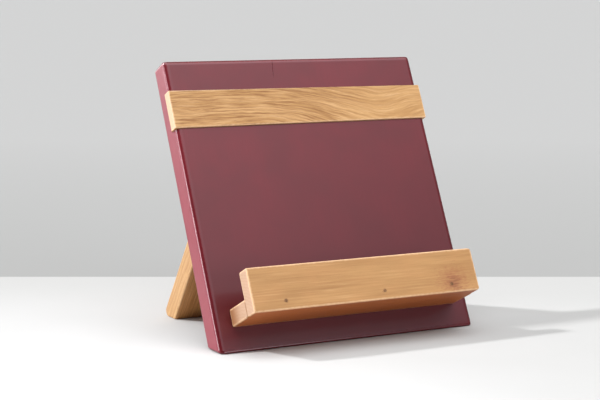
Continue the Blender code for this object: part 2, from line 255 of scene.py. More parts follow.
def prism(name, outline, left, right):
    """Solid with a (y, z) outline, extruded along X."""
    first = [(left, y, z) for y, z in outline]
    last = [(right, y, z) for y, z in outline]
    return between(name, first, last)


def slab(name, outline, near, far):
    """Solid with an (x, z) outline, extruded along Y."""
    first = [(x, near, z) for x, z in outline]
    last = [(x, far, z) for x, z in outline]
    return between(name, first, last)


def box_outline(low, high):
    """The (y, z) outline of a box."""
    return [(low.y, low.z), (high.y, low.z), (high.y, high.z), (low.y, high.z)]


def turned(name, profile, sides, centre):
    """Solid of revolution about Y from (radius, y) pairs."""
    points = []
    for radius, y in profile:
        for k in range(sides):
            turn = 2.0 * math.pi * k / sides
            points.append((
                centre[0] + radius * math.cos(turn),
                y,
                centre[1] + radius * math.sin(turn),
            ))
    faces = []
    for r in range(len(profile) - 1):
        for k in range(sides):
            n = (k + 1) % sides
            a = r * sides
            faces.append((a + k, a + n, a + sides + n, a + sides + k))
    faces.append(tuple(range(sides)))
    last = (len(profile) - 1) * sides
    faces.append(tuple(range(last, last + sides)))
    return solid(name, points, faces)


def weigh(mesh, choose):
    """Bevel weight of each edge from choose(a, b), the edge's two ends."""
    weights = mesh.attributes.new("bevel_weight_edge", "FLOAT", "EDGE")
    for edge in mesh.edges:
        a = mesh.vertices[edge.vertices[0]].co
        b = mesh.vertices[edge.vertices[1]].co
        weights.data[edge.index].value = choose(a, b)


def bevel(item, width, segments, by_weight=False):
    """Rounds the sharp edges, or each edge by its bevel weight."""
    made = item.modifiers.new("bevel", "BEVEL")
    made.width = width
    made.segments = segments
    made.limit_method = "WEIGHT" if by_weight else "ANGLE"
    made.angle_limit = math.radians(EASE_ANGLE)


def carve(item, cutters):
    """Takes every cutter's volume out of the item when it is baked."""
    for cutter in cutters:
        made = item.modifiers.new("carve", "BOOLEAN")
        made.operation = "DIFFERENCE"
        made.solver = "EXACT"
        made.object = cutter


def apply_modifiers(item):
    """Makes what the modifiers show the item's own mesh."""
    bpy.context.view_layer.update()
    graph = bpy.context.evaluated_depsgraph_get()
    mesh = bpy.data.meshes.new_from_object(item.evaluated_get(graph))
    item.modifiers.clear()
    item.data = mesh


def bake(item, cutters=()):
    """Applies every modifier, removes the cutters and smooths the shading."""
    apply_modifiers(item)
    for cutter in cutters:
        bpy.data.objects.remove(cutter, do_unlink=True)
    item.data.shade_smooth()
    item.data.set_sharp_from_angle(angle=math.radians(SHARP_ANGLE))
    weighted = item.modifiers.new("even_shading", "WEIGHTED_NORMAL")
    weighted.keep_sharp = True
    weighted.weight = 50
    apply_modifiers(item)


# ---- node helpers --------------------------------------------------------


class Look:
    """One procedural material and short calls that add nodes to it."""

    def __init__(self, name):
        self.material = bpy.data.materials.new(name)
        self.material.use_nodes = True
        self.tree = self.material.node_tree
        self.tree.nodes.clear()
        out = self.tree.nodes.new("ShaderNodeOutputMaterial")
        self.shader = self.tree.nodes.new("ShaderNodeBsdfPrincipled")
        self.tree.links.new(self.shader.outputs[0], out.inputs["Surface"])
        self.coords = self.tree.nodes.new("ShaderNodeTexCoord")
        self.place = self.scaled(self.coords.outputs["Object"], (1000.0, 1000.0, 1000.0))
        parts = self.tree.nodes.new("ShaderNodeSeparateXYZ")
        self.tree.links.new(self.place, parts.inputs[0])
        self.x, self.y, self.z = parts.outputs

    def put(self, socket, value):
        """Links a socket, or sets a plain value."""
        if isinstance(value, bpy.types.NodeSocket):
            self.tree.links.new(value, socket)
        else:
            socket.default_value = value

    def scaled(self, vector, factors):
        node = self.tree.nodes.new("ShaderNodeVectorMath")
        node.operation = "MULTIPLY"
        self.put(node.inputs[0], vector)
        self.put(node.inputs[1], factors)
        return node.outputs[0]

    def math(self, operation, a, b=0.0):
        node = self.tree.nodes.new("ShaderNodeMath")
        node.operation = operation
        self.put(node.inputs[0], a)
        self.put(node.inputs[1], b)
        return node.outputs[0]

    def distance(self, a, b):
        """Length of a vector with the parts a and b."""
        square = self.math("ADD", self.math("MULTIPLY", a, a), self.math("MULTIPLY", b, b))
        return self.math("SQRT", square)

    def joined(self, x, y, z):
        node = self.tree.nodes.new("ShaderNodeCombineXYZ")
        self.put(node.inputs[0], x)
        self.put(node.inputs[1], y)
        self.put(node.inputs[2], z)
        return node.outputs[0]

    def noise(self, vector, scale, detail, rough=0.5):
        node = self.tree.nodes.new("ShaderNodeTexNoise")
        self.put(node.inputs["Vector"], vector)
        node.inputs["Scale"].default_value = scale
        node.inputs["Detail"].default_value = detail
        node.inputs["Roughness"].default_value = rough
        return node.outputs["Fac"]

    def cells(self, vector, scale):
        node = self.tree.nodes.new("ShaderNodeTexVoronoi")
        node.feature = "F1"
        self.put(node.inputs["Vector"], vector)
        node.inputs["Scale"].default_value = scale
        return node.outputs["Distance"]

    def span(self, value, low, high, to_low=0.0, to_high=1.0, smooth=False):
        """The value's place between low and high, moved to another range."""
        node = self.tree.nodes.new("ShaderNodeMapRange")
        node.interpolation_type = "SMOOTHSTEP" if smooth else "LINEAR"
        self.put(node.inputs["Value"], value)
        node.inputs["From Min"].default_value = low
        node.inputs["From Max"].default_value = high
        node.inputs["To Min"].default_value = to_low
        node.inputs["To Max"].default_value = to_high
        return node.outputs["Result"]

    def blend(self, factor, a, b):
        """Colour a where the factor is 0, colour b where it is 1."""
        node = self.tree.nodes.new("ShaderNodeMix")
        node.data_type = "RGBA"
        self.put(node.inputs["Factor"], factor)
        self.put(node.inputs[6], a if isinstance(a, bpy.types.NodeSocket) else (*a, 1.0))
        self.put(node.inputs[7], b if isinstance(b, bpy.types.NodeSocket) else (*b, 1.0))
        return node.outputs[2]

    def ramp(self, value, stops):
        """Grey level between (place, grey) stops."""
        node = self.tree.nodes.new("ShaderNodeValToRGB")
        self.put(node.inputs[0], value)
        ramp = node.color_ramp
        while len(ramp.elements) < len(stops):
            ramp.elements.new(0.5)
        for element, (place, grey) in zip(ramp.elements, stops):
            element.position = place
            element.color = (grey, grey, grey, 1.0)
        return node.outputs[0]

    def bump(self, height, distance, strength, normal=None):
        node = self.tree.nodes.new("ShaderNodeBump")
        node.inputs["Strength"].default_value = strength
        node.inputs["Distance"].default_value = distance
        self.put(node.inputs["Height"], height)
        if normal is not None:
            self.put(node.inputs["Normal"], normal)
        return node.outputs[0]

    def own_normal(self, axis):
        """One part of the surface's normal in the piece's own frame."""
        parts = self.tree.nodes.new("ShaderNodeSeparateXYZ")
        self.tree.links.new(self.coords.outputs["Normal"], parts.inputs[0])
        return parts.outputs[axis]

    def at_the_ends(self):
        """1 where the surface faces left or right along the piece, else 0."""
        return self.math("ABSOLUTE", self.own_normal(0))

    def facing_down(self):
        """1 where the surface faces down the piece's own height, else 0 or less."""
        return self.math("MULTIPLY", self.own_normal(2), -1.0)

    def near_edges(self, low, high, wide):
        """1 along the box's edges, fading to 0 a little way onto its faces."""
        gaps = []
        for value, a, b in zip((self.x, self.y, self.z), low, high):
            middle = (a + b) * 500.0
            half = (b - a) * 500.0
            away = self.math("ABSOLUTE", self.math("SUBTRACT", value, middle))
            gaps.append(self.math("SUBTRACT", half, away))
        least = self.math("MINIMUM", gaps[0], gaps[1])
        most = self.math("MAXIMUM", gaps[0], gaps[1])
        second = self.math("MAXIMUM", least, self.math("MINIMUM", most, gaps[2]))
        ragged = self.noise(self.place, 0.5, 3.0)
        second = self.math("ADD", second, self.span(ragged, 0.3, 0.7, -0.25, 0.25))
        return self.span(second, 0.15, wide, 1.0, 0.0)

    def finish(self, colour, roughness, normal):
        """Connects the shader and hands over the material."""
        self.put(self.shader.inputs["Base Color"], colour)
        self.put(self.shader.inputs["Roughness"], roughness)
        self.put(self.shader.inputs["Normal"], normal)
        return self.material


# ---- materials -----------------------------------------------------------


def paint_look():
    """Satin burgundy paint with a faint upright grain, rubbed smooth at the edges, with painted
    shade towards its foot and painted light on its side faces.
    """
    look = Look("burgundy_satin_paint")
    cloud = look.noise(look.place, 0.03, 3.0)
    grain = look.noise(look.scaled(look.place, (1.1, 1.1, 0.03)), 1.0, 3.0)
    fine = look.noise(look.scaled(look.place, (3.2, 3.2, 0.11)), 1.0, 2.0)
    peel = look.noise(look.place, 0.9, 2.0)
    colour = look.blend(look.span(cloud, 0.35, 0.65), PAINT_DEEP, PAINT_FULL)
    colour = look.blend(look.span(grain, 0.45, 0.62, 0.0, 0.35), colour, PAINT_DEEP)
    # painted shade: the paint darkens towards the board's foot, most on the left, where the
    # ledge shades it
    height = look.math("ADD", look.z, look.math("MULTIPLY", look.x, -0.25))
    foot = look.span(height, 130.0, 10.0, 0.0, 0.8)
    colour = look.blend(foot, colour, PAINT_FOOT_PAINTED_SHADE)
    # painted light: the side faces take a paler, pinker paint for the light and sheen that fall
    # on them
    sides = look.span(look.at_the_ends(), 0.80, 0.98)
    colour = look.blend(sides, colour, PAINT_SIDE_PAINTED_LIGHT)
    rough = look.span(look.noise(look.place, 0.12, 3.0), 0.3, 0.7, 0.40, 0.45)
    handled = look.near_edges(BOARD_LOW, BOARD_HIGH, 4.5)
    change = look.math("SUBTRACT", PAINT_EDGE_ROUGHNESS, rough)
    rough = look.math("ADD", rough, look.math("MULTIPLY", handled, change))
    lines = look.math("ADD", look.math("MULTIPLY", grain, 0.6),
                      look.math("MULTIPLY", fine, 0.4))
    normal = look.bump(lines, 0.00005, 0.35)
    normal = look.bump(peel, 0.00002, 0.25, normal)
    look.shader.inputs["IOR"].default_value = 1.5
    look.shader.inputs["Coat Weight"].default_value = PAINT_COAT
    look.shader.inputs["Coat Roughness"].default_value = PAINT_COAT_ROUGHNESS
    look.shader.inputs["Specular Tint"].default_value = (*PAINT_SHEEN, 1.0)
    return look.finish(colour, rough, normal)


def wood_rings(look, centre_y, centre_z, spacing, wander):
    """Distance from the pith in growth rings, with wavering lines."""
    drift = look.noise(look.scaled(look.place, (0.010, 0.03, 0.03)), 1.0, 2.0)
    sway = look.math("MULTIPLY", look.math("SUBTRACT", drift, 0.5), wander)
    dy = look.math("SUBTRACT", look.y, centre_y)
    dz = look.math("SUBTRACT", look.z, centre_z)
    dz = look.math("ADD", dz, sway)
    radius = look.distance(dy, dz)
    ripple = look.noise(look.scaled(look.place, (0.035, 0.35, 0.35)), 1.0, 2.0)
    radius = look.math("ADD", radius, look.math("MULTIPLY", ripple, 0.9 * spacing))
    return look.math("DIVIDE", radius, spacing)


def ring_shade(look, rings):
    """Early wood to late wood inside each ring: a soft rise, then a sharp fall."""
    part = look.math("FRACT", rings)
    shade = look.ramp(part, [(0.0, 1.0), (0.14, 0.35), (0.55, 0.0), (0.86, 0.25), (1.0, 1.0)])
    number = look.math("FLOOR", rings)
    vary = look.noise(look.joined(number, 0.0, 0.0), 0.73, 0.0)
    return look.math("MULTIPLY", shade, look.span(vary, 0.3, 0.7, 0.35, 1.0))


def oak_look():
    """Flat-sawn oak: straight lines on the left that dip to the right."""
    look = Look("oiled_oak")
    base = STRIP_LOW.z * 1000.0
    wave = look.noise(look.scaled(look.place, (0.020, 0.02, 0.05)), 1.0, 2.0)
    dip = look.span(look.x, -40.0, 74.0, 18.0, 41.0, True)
    lift = look.span(look.x, 66.0, 116.0, 0.0, 6.0, True)
    depth = look.math("SUBTRACT", dip, lift)
    depth = look.math("ADD", depth, look.span(wave, 0.25, 0.75, -1.5, 1.5))
    dy = look.math("SUBTRACT", depth, look.math("SUBTRACT", look.y, STRIP_LOW.y * 1000.0))
    dz = look.math("SUBTRACT", look.z, base - 22.0)
    radius = look.distance(dy, dz)
    along = look.math("MULTIPLY", look.x, 0.05)
    ripple = look.noise(look.joined(along, look.math("MULTIPLY", radius, 0.22), 0.0), 1.0, 2.0)
    radius = look.math("ADD", radius, look.math("MULTIPLY", ripple, 2.4))
    rings = look.math("DIVIDE", radius, OAK_RING)
    shade = ring_shade(look, rings)
    slanted = look.math("SUBTRACT", look.x, look.math("MULTIPLY", look.z, 1.6))
    plain = look.span(slanted, -220.0, -178.0, 1.0, 0.25, True)
    shade = look.math("MULTIPLY", shade, plain)
    flow = look.joined(look.math("MULTIPLY", look.x, 0.048),
                       look.math("MULTIPLY", radius, 1.10),
                       look.math("MULTIPLY", look.y, 0.6))
    streak = look.noise(flow, 1.0, 4.0, 0.62)
    fibre = look.noise(look.scaled(flow, (1.6, 3.2, 3.2)), 1.0, 2.0)
    broad = look.noise(look.scaled(flow, (0.3, 0.22, 0.2)), 1.0, 2.0)
    dots = look.cells(look.scaled(flow, (4.5, 4.4, 4.4)), 1.0)
    pores = look.math("MULTIPLY", look.span(dots, 0.34, 0.12),
                      look.span(shade, 0.12, 0.5, 0.15, 1.0))
    colour = look.blend(look.span(broad, 0.35, 0.65), OAK_MID, OAK_PALE)
    colour = look.blend(look.math("MULTIPLY", shade, 0.80), colour, OAK_DARK)
    calm = look.span(look.x, -5.0, 70.0, 1.0, 0.25, True)
    dark = look.math("MULTIPLY", look.span(streak, 0.49, 0.66, 0.0, 0.85), calm)
    colour = look.blend(dark, colour, OAK_DARK)
    colour = look.blend(look.span(streak, 0.47, 0.30, 0.0, 0.75), colour, OAK_LIGHT)
    colour = look.blend(look.span(fibre, 0.45, 0.70, 0.0, 0.30), colour, OAK_DARK)
    colour = look.blend(look.math("MULTIPLY", pores, 0.55), colour, OAK_PORE)
    end = look.span(look.at_the_ends(), 0.75, 0.95, 0.0, 0.8)
    colour = look.blend(end, colour, OAK_END)
    # lighter along the edges: wear, and a painted highlight where the eased edges catch the
    # light
    wear_and_highlight = look.near_edges(STRIP_LOW, STRIP_HIGH, 1.1)
    colour = look.blend(look.math("MULTIPLY", wear_and_highlight, 0.6), colour, OAK_WORN_AND_HIGHLIGHT)
    height = look.math("SUBTRACT", look.math("MULTIPLY", streak, 0.4), pores)
    normal = look.bump(height, 0.00012, 0.6)
    rough = look.span(streak, 0.3, 0.7, 0.46, 0.62)
    return look.finish(colour, rough, normal)


def pore_mask(look, stretch):
    """Short open vessels that run with the grain."""
    wobble = look.noise(look.scaled(look.place, (0.3, 1.0, 1.0)), 1.0, 1.0)
    shifted = look.tree.nodes.new("ShaderNodeVectorMath")
    shifted.operation = "ADD"
    look.put(shifted.inputs[0], look.scaled(look.place, stretch))
    look.put(shifted.inputs[1], look.joined(wobble, wobble, wobble))
    dots = look.cells(shifted.outputs[0], 1.0)
    sparse = look.noise(look.scaled(look.place, (0.08, 1.1, 1.1)), 1.0, 2.0)
    mask = look.span(dots, 0.30, 0.12)
    return look.math("MULTIPLY", mask, look.span(sparse, 0.46, 0.58))


def ledge_look(name, box, marks, knot):
    """Smooth oiled wood with faint long streaks and curved end grain."""
    look = Look(name)
    low, high = box
    back = SHELF_HIGH.y * 1000.0
    shelf_top = SHELF_HIGH.z * 1000.0
    pith = (LEDGE_PITH_Y, LIP_LOW.z * 1000.0 - LEDGE_PITH_DROP)
    rings = wood_rings(look, *pith, LEDGE_RING, 5.0)
    shade = ring_shade(look, rings)
    streak = look.noise(look.scaled(look.place, (0.020, 0.8, 0.8)), 1.0, 4.0, 0.58)
    fibre = look.noise(look.scaled(look.place, (0.09, 2.6, 2.6)), 1.0, 2.0)
    broad = look.noise(look.scaled(look.place, (0.016, 0.13, 0.13)), 1.0, 2.0)
    blotch = look.noise(look.scaled(look.place, (0.04, 0.09, 0.09)), 1.0, 3.0)
    pores = pore_mask(look, (0.35, 5.0, 5.0))
    end = look.span(look.at_the_ends(), 0.75, 0.95)
    colour = look.blend(look.span(broad, 0.35, 0.65), LEDGE_MID, LEDGE_PALE)
    colour = look.blend(look.span(blotch, 0.42, 0.68, 0.0, 0.45), colour, LEDGE_WARM)
    colour = look.blend(look.math("MULTIPLY", shade, 0.16), colour, LEDGE_DARK)
    colour = look.blend(look.span(streak, 0.52, 0.74, 0.0, 0.32), colour, LEDGE_DARK)
    colour = look.blend(look.span(streak, 0.44, 0.28, 0.0, 0.60), colour, LEDGE_LIGHT)
    colour = look.blend(look.span(fibre, 0.5, 0.75, 0.0, 0.18), colour, LEDGE_DARK)
    colour = look.blend(look.math("MULTIPLY", pores, 0.25), colour, LEDGE_PORE)
    rim = look.math("MULTIPLY", look.span(look.y, back - 16.0, back - 3.0), 0.9)
    cut = look.blend(look.math("MULTIPLY", shade, 0.40), LEDGE_END, LEDGE_END_RING)
    cut = look.blend(rim, cut, LEDGE_END_RING)
    colour = look.blend(end, colour, cut)
    # painted shade: faces turned down are painted darker and warmer, for the shade and warm
    # bounce light under the ledge
    painted_under_shade = look.span(look.facing_down(), 0.80, 0.97, 0.0, 0.9)
    colour = look.blend(painted_under_shade, colour, LEDGE_UNDER_PAINTED_SHADE)
    if knot is not None:
        x, z = knot
        lines = look.noise(look.scaled(look.place, (0.10, 0.9, 0.9)), 1.0, 3.0)
        warm = look.math("MULTIPLY", stain(look, x, z, 2.0, 15.0, 1.0),
                         look.span(lines, 0.35, 0.6, 0.25, 0.75))
        core = look.math("MULTIPLY", stain(look, x, z - 0.8, 0.6, 7.0, 1.0),
                         look.span(lines, 0.42, 0.6, 0.2, 0.7))
        colour = look.blend(warm, colour, LEDGE_KNOT)
        colour = look.blend(core, colour, LEDGE_KNOT_CORE)
    for x, z in marks:
        colour = look.blend(stain(look, x, z, 0.7, 1.9, 0.55), colour, LEDGE_MARK)
    # lighter along the edges: wear, and a painted highlight where the eased edges catch the
    # light
    wear_and_highlight = look.near_edges(low, high, 1.5)
    joint = look.math("MULTIPLY", look.span(look.z, shelf_top - 1.0, shelf_top - 2.0),
                      near_joint(look))
    wear_and_highlight = look.math("MULTIPLY", wear_and_highlight, look.math("SUBTRACT", 1.0, joint))
    colour = look.blend(look.math("MULTIPLY", wear_and_highlight, 0.80), colour, LEDGE_WORN_AND_HIGHLIGHT)
    height = look.math("SUBTRACT", look.math("MULTIPLY", streak, 0.4),
                       look.math("MULTIPLY", pores, 0.6))
    normal = look.bump(height, 0.00010, 0.5)
    rough = look.span(streak, 0.3, 0.7, 0.44, 0.58)
    return look.finish(colour, rough, normal)


def near_joint(look):
    """1 close to the glue line between the shelf and the lip."""
    away = look.math("ABSOLUTE", look.math("SUBTRACT", look.y, LIP_HIGH.y * 1000.0))
    return look.span(away, 1.5, 2.5, 1.0, 0.0)


def stain(look, x, z, inner, outer, most):
    """Soft uneven spot around one point of the face, in millimetres."""
    dx = look.math("SUBTRACT", look.x, x)
    dx = look.math("MULTIPLY", dx, 0.8)
    dz = look.math("SUBTRACT", look.z, z)
    away = look.distance(dx, dz)
    rough = look.noise(look.scaled(look.place, (0.35, 0.9, 0.9)), 1.0, 3.0)
    away = look.math("MULTIPLY", away, look.span(rough, 0.3, 0.7, 0.6, 1.5))
    return look.span(away, inner, outer, most, 0.0, True)


def leg_look():
    """Oiled oak with its grain along the leg."""
    look = Look("oiled_oak_leg")
    drift = look.noise(look.scaled(look.place, (0.03, 0.03, 0.012)), 1.0, 2.0)
    sway = look.math("MULTIPLY", look.math("SUBTRACT", drift, 0.5), 9.0)
    ripple = look.noise(look.scaled(look.place, (0.4, 0.4, 0.04)), 1.0, 2.0)
    dx = look.math("ADD", look.math("ADD", look.x, 26.0), sway)
    dy = look.math("ADD", look.y, 34.0)
    radius = look.math("ADD", look.distance(dx, dy), look.math("MULTIPLY", ripple, 2.0))
    rings = look.math("DIVIDE", radius, LEG_RING)
    shade = ring_shade(look, rings)
    streak = look.noise(look.scaled(look.place, (1.9, 1.9, 0.045)), 1.0, 4.0, 0.6)
    broad = look.noise(look.scaled(look.place, (0.12, 0.12, 0.014)), 1.0, 2.0)
    dots = look.cells(look.scaled(look.place, (4.0, 4.0, 0.28)), 1.0)
    pores = look.math("MULTIPLY", look.span(dots, 0.30, 0.12), look.span(ripple, 0.42, 0.58))
    colour = look.blend(look.span(broad, 0.32, 0.68), LEG_MID, LEG_PALE)
    sides = look.span(look.at_the_ends(), 0.70, 0.95, 0.0, 0.85)
    colour = look.blend(sides, colour, LEG_SIDE)
    colour = look.blend(look.math("MULTIPLY", shade, 0.6), colour, LEG_DARK)
    colour = look.blend(look.span(streak, 0.48, 0.70, 0.0, 0.6), colour, LEG_DARK)
    colour = look.blend(look.span(streak, 0.45, 0.28, 0.0, 0.5), colour, LEG_LIGHT)
    colour = look.blend(look.math("MULTIPLY", pores, 0.55), colour, LEG_PORE)
    # lighter along the edges: wear, and a painted highlight where the eased edges catch the
    # light
    wear_and_highlight = look.near_edges(LEG_LOW, LEG_HIGH + Vector((0.0, 0.0, 0.05)), 1.4)
    colour = look.blend(look.math("MULTIPLY", wear_and_highlight, 0.6), colour, LEG_WORN_AND_HIGHLIGHT)
    height = look.math("SUBTRACT", look.math("MULTIPLY", streak, 0.4), pores)
    normal = look.bump(height, 0.00012, 0.6)
    rough = look.span(streak, 0.3, 0.7, 0.48, 0.64)
    return look.finish(colour, rough, normal)


def metal_look(name, bright, dull, low, high, grain):
    """Slightly cloudy metal; low and high are the ends of its roughness."""
    look = Look(name)
    cloud = look.noise(look.place, 0.35, 3.0)
    scratch = look.noise(look.scaled(look.place, grain), 1.0, 3.0, 0.6)
    speck = look.noise(look.place, 3.0, 2.0)
    colour = look.blend(look.span(cloud, 0.4, 0.65), bright, dull)
    rough = look.span(cloud, 0.3, 0.7, low, high)
    height = look.math("ADD", look.math("MULTIPLY", scratch, 0.7),
                       look.math("MULTIPLY", speck, 0.3))
    normal = look.bump(height, 0.00004, 0.5)
    look.shader.inputs["Metallic"].default_value = 1.0
    return look.finish(colour, rough, normal)


def give(item, material):
    """Makes this the item's only material."""
    item.data.materials.clear()
    item.data.materials.append(material)


def refinish(node, material):
    """Gives a CAD node that stays as it is another material."""
    for slot in NODES[node].material_slots:
        slot.material = material


# ---- the wooden pieces ---------------------------------------------------

BOARD_LOW, BOARD_HIGH = reach("board", STAND)
STRIP_LOW, STRIP_HIGH = reach("accent_strip", STAND)
SHELF_LOW, SHELF_HIGH = reach("ledge_shelf", STAND)
LIP_LOW, LIP_HIGH = reach("ledge_lip", STAND)
LEG_LOW, LEG_HIGH = reach("leg", LEG)


def screw_well(node, matrix, head, radius, face, direction):
    """Countersunk well for one of the CAD screws, which goes in along direction * Y."""
    low, high = reach(node, matrix)
    centre = (low + high) / 2
    deep = (low.y if direction < 0 else high.y) + direction * WELL_OVERSHOOT
    top = head + SCREW_HEAD_CLEAR
    stem = radius + SCREW_HEAD_CLEAR
    profile = [
        (top, face - direction * WELL_OVERSHOOT),
        (top, face + direction * SCREW_HEAD_SINK),
        (stem, face + direction * (SCREW_HEAD_SINK + top - stem)),
        (stem, deep),
    ]
    name = "well_" + node
    return add(name, turned(name, profile, 48, (centre.x, centre.z)), matrix)


def shelf_wells():
    """Wells for the screws that go through the board into the shelf."""
    return [screw_well("shelf_screw_" + spot, STAND, SHELF_SCREW_HEAD, SHELF_SCREW_RADIUS,
                       BOARD_HIGH.y, -1) for spot in SPOTS_ALONG]


def hinge_wells(leaf, matrix, face, direction):
    """Wells for the screws of both hinges' fixed or moving leaves."""
    return [screw_well("screw_hinge_%s_%s_leaf_%s" % (side, leaf, word), matrix,
                       HINGE_SCREW_HEAD, HINGE_SCREW_RADIUS, face, direction)
            for side in SIDES for word in ("inner", "outer")]


def crack_tool():
    """Ragged hairline check that runs down from the top of the board's face."""
    start = BOARD_HIGH.z - CRACK_TOP_GAP
    left = []
    right = []
    for k, wander in enumerate(CRACK_WANDER):
        t = k / (len(CRACK_WANDER) - 1)
        x = CRACK_X + CRACK_DRIFT * t + wander * CRACK_RAGGED
        z = start - CRACK_LENGTH * t
        half = CRACK_WIDTH * (0.2 + 0.8 * math.sin(math.pi * min(1.0, 0.15 + t * 0.85))) / 2
        left.append((x - half, z))
        right.append((x + half, z))
    outline = left + right[::-1]
    face = BOARD_LOW.y
    mesh = slab("crack", outline, face - CRACK_PAST_FACE, face + CRACK_DEPTH)
    return add("crack", mesh, STAND)


def groove_tool():
    """Groove for the strip, right across the board."""
    low = STRIP_LOW.z - GROOVE_CLEAR
    high_left = STRIP_HIGH.z + GROOVE_CLEAR
    high_right = high_left - STRIP_SLOPE
    back = STRIP_HIGH.y + GROOVE_CLEAR
    front = STRIP_LOW.y - GROOVE_PAST_FACE
    wide = STRIP_HIGH.x + GROOVE_PAST_ENDS
    outline = [(-wide, low), (wide, low), (wide, high_right), (-wide, high_left)]
    return add("groove", slab("groove", outline, front, back), STAND)


def make_board():
    """Painted board, cut flat to the table along its foot."""
    slope = math.tan(LEAN)
    outline = [
        (BOARD_HIGH.y, BOARD_HIGH.y * slope),
        (BOARD_LOW.y, BOARD_LOW.y * slope),
        (BOARD_LOW.y, BOARD_HIGH.z),
        (BOARD_HIGH.y, BOARD_HIGH.z),
    ]
    mesh = prism("board_panel", outline, BOARD_LOW.x, BOARD_HIGH.x)
    small = BOARD_BACK_ROUND / BOARD_FRONT_ROUND
    middle = (BOARD_LOW.y + BOARD_HIGH.y) / 2
    foot = BOARD_LOW.z + 0.02

    def choose(a, b):
        in_front = a.y < middle and b.y < middle
        at_foot = a.z < foot and b.z < foot
        return 1.0 if in_front and not at_foot else small

    weigh(mesh, choose)
    board = add("board_panel", mesh, STAND)
    bevel(board, BOARD_FRONT_ROUND, 10, True)
    cutters = [groove_tool(), crack_tool()]
    cutters += shelf_wells() + hinge_wells("fixed", STAND, BOARD_HIGH.y, -1)
    carve(board, cutters)
    bake(board, cutters)
    give(board, PAINT)
    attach(board, "stand")
    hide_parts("board")


def make_strip():
    """Oak strip whose top edge falls a little to the right."""
    low = STRIP_LOW
    high = STRIP_HIGH
    right_top = high.z - STRIP_SLOPE
    outline = [(low.x, low.z), (high.x, low.z), (high.x, right_top), (low.x, high.z)]
    mesh = slab("oak_strip", outline, low.y, high.y)
    small = STRIP_EASE / STRIP_BACK_CORNER
    middle = (low.y + high.y) / 2

    def choose(a, b):
        upright = abs(a.x - b.x) < 0.01 and abs(a.z - b.z) > 0.01
        behind = a.y > middle and b.y > middle
        return 1.0 if upright and behind else small

    weigh(mesh, choose)
    strip = add("oak_strip", mesh, STAND)
    bevel(strip, STRIP_BACK_CORNER, 4, True)
    bake(strip)
    give(strip, OAK)
    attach(strip, "stand")
    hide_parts("accent_strip")


def rounded_bar(name, low, high, rounding):
    """Bar along X; rounding(a, b) is an edge's share of the ledge's corner round."""
    mesh = prism(name, box_outline(low, high), low.x, high.x)
    weigh(mesh, rounding)
    item = add(name, mesh, STAND)
    bevel(item, LEDGE_CORNER, 6, True)
    return item


def make_shelf():
    """Ledge shelf between the lip and the board, with a glue gap at both."""
    low = Vector(SHELF_LOW)
    high = Vector(SHELF_HIGH)
    low.y = LIP_HIGH.y + GLUE_GAP
    high.y = BOARD_LOW.y - GLUE_GAP
    middle = low + (high - low) / 2

    def rounding(a, b):
        if a.y < middle.y and b.y < middle.y:
            return 0.0
        along = abs(a.x - b.x) > 0.001
        if along and a.z > middle.z:
            return LEDGE_TOP_SHARE
        return LEDGE_EASE / LEDGE_CORNER

    shelf = rounded_bar("ledge_shelf_wood", low, high, rounding)
    cutters = shelf_wells() + brad_wells()
    carve(shelf, cutters)
    bake(shelf, cutters)
    give(shelf, SHELF_WOOD)
    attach(shelf, "stand")
    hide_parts("ledge_shelf")


def brad_wells():
    """Holes for the nails, whose heads sit a little below the lip's face."""
    wells = []
    for spot in SPOTS_ALONG:
        low, high = reach("lip_brad_" + spot, STAND)
        centre = (low + high) / 2
        profile = [
            (BRAD_SINK_RADIUS * 1.05, LIP_LOW.y - 0.0005),
            (BRAD_SINK_RADIUS, LIP_LOW.y + 0.0003),
            (BRAD_SINK_RADIUS, LIP_LOW.y + 0.0011),
            (BRAD_STEM_RADIUS, LIP_LOW.y + 0.0019),
            (BRAD_STEM_RADIUS, high.y + WELL_OVERSHOOT),
        ]
        name = "sink_" + spot
        wells.append(add(name, turned(name, profile, 40, (centre.x, centre.z)), STAND))
    return wells


def make_lip():
    """Ledge lip, with the corners of its right end rounder than the rest."""
    low = Vector(LIP_LOW)
    high = Vector(LIP_HIGH)
    middle = (low + high) / 2

    def rounding(a, b):
        along = abs(a.x - b.x) > 0.001
        behind = a.y > middle.y and b.y > middle.y
        on_top = a.z > middle.z and b.z > middle.z
        if behind and not on_top:
            return 0.0 if along else 0.2
        if behind and along:
            return LEDGE_TOP_SHARE
        if not along and a.x > 0.0 and (on_top or a.z + b.z < 2 * middle.z):
            if abs(a.y - b.y) > 0.001:
                return 1.0
        return LEDGE_EASE / LEDGE_CORNER

    lip = rounded_bar("ledge_lip_wood", low, high, rounding)
    cutters = brad_wells()
    carve(lip, cutters)
    bake(lip, cutters)
    give(lip, LIP_WOOD)
    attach(lip, "stand")
    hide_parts("ledge_lip")


def round_corner(before, corner, after, radius, steps):
    """Points of an arc that rounds the corner between two straight sides."""
    c = Vector(corner)
    to_before = (Vector(before) - c).normalized()
    to_after = (Vector(after) - c).normalized()
    half = to_before.angle(to_after) / 2
    middle = c + (to_before + to_after).normalized() * radius / math.sin(half)
    first = c + to_before * radius / math.tan(half) - middle
    last = c + to_after * radius / math.tan(half) - middle
    begin = math.atan2(first.y, first.x)
    swing = math.atan2(last.y, last.x) - begin
    swing = (swing + math.pi) % (2 * math.pi) - math.pi
    points = []
    for k in range(steps + 1):
        turn = begin + swing * k / steps
        points.append((middle.x + radius * math.cos(turn), middle.y + radius * math.sin(turn)))
    return points


